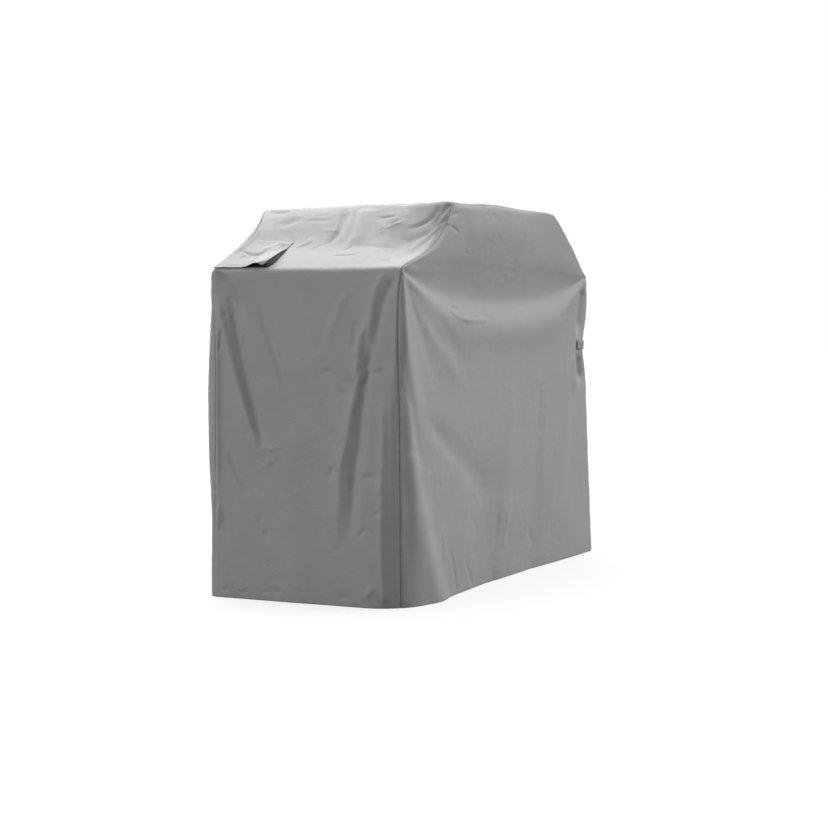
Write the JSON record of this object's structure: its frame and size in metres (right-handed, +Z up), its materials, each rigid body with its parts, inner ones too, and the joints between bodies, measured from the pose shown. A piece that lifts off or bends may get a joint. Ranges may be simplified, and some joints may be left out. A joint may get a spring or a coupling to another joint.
{
  "type": "patio furniture cover",
  "caption": "Fitted weatherproof cloth cover with straight sides, sloping shoulders, a raised flat hood and a flap-covered vent on one shoulder.",
  "frame": {"origin": "on the floor under the middle of the bounding box", "axes": "+X along the long front from the vented end to the strapped end, +Y from front to back, +Z up"},
  "size_m": [1.5308, 0.7072, 1.1776],
  "materials": {
    "cloth": "matt coated woven polyester, mid grey",
    "net": "matt black knitted net",
    "webbing": "matt grey woven webbing"
  },
  "bodies": {
    "root": {"wrap_panel": "cloth", "front_panel": "cloth", "back_panel": "cloth", "vent_flap": "cloth", "vent_net": "net", "side_strap": "webbing"}
  },
  "joints": []
}
